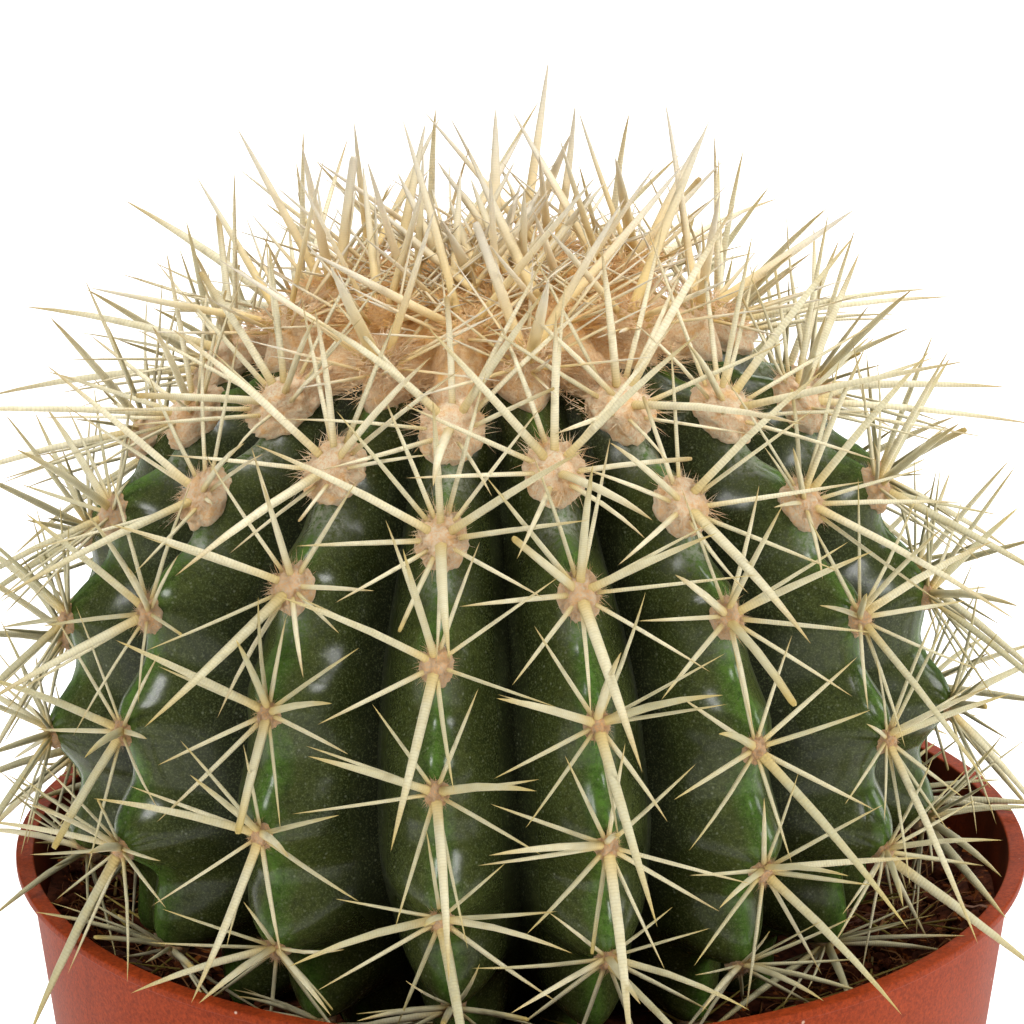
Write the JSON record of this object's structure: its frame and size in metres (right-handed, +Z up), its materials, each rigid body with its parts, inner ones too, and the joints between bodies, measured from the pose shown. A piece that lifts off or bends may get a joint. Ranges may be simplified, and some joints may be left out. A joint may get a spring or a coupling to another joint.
{
  "type": "potted round cactus",
  "caption": "Round ribbed cactus with felted areoles, straw-coloured spines and a woolly crown, growing in soil in a tapered plastic nursery pot.",
  "frame": {"origin": "middle of the pot's flat underside", "axes": "+Z up along the pot's axis, -Y towards the front of the plant as pictured, +X to its right"},
  "size_m": [0.1427, 0.1394, 0.1874],
  "materials": {
    "pot_plastic": "matte moulded terracotta-coloured plastic",
    "soil": "loose dark brown peat and plant fibre",
    "cactus_skin": "waxy, semi-gloss",
    "crown_wool": "felted wool",
    "spine": "dry, hard and slightly glossy"
  },
  "bodies": {
    "root": {"pot": "pot_plastic", "soil": "soil", "cactus_stem": "cactus_skin", "crown_wool": "crown_wool"}
  },
  "joints": []
}
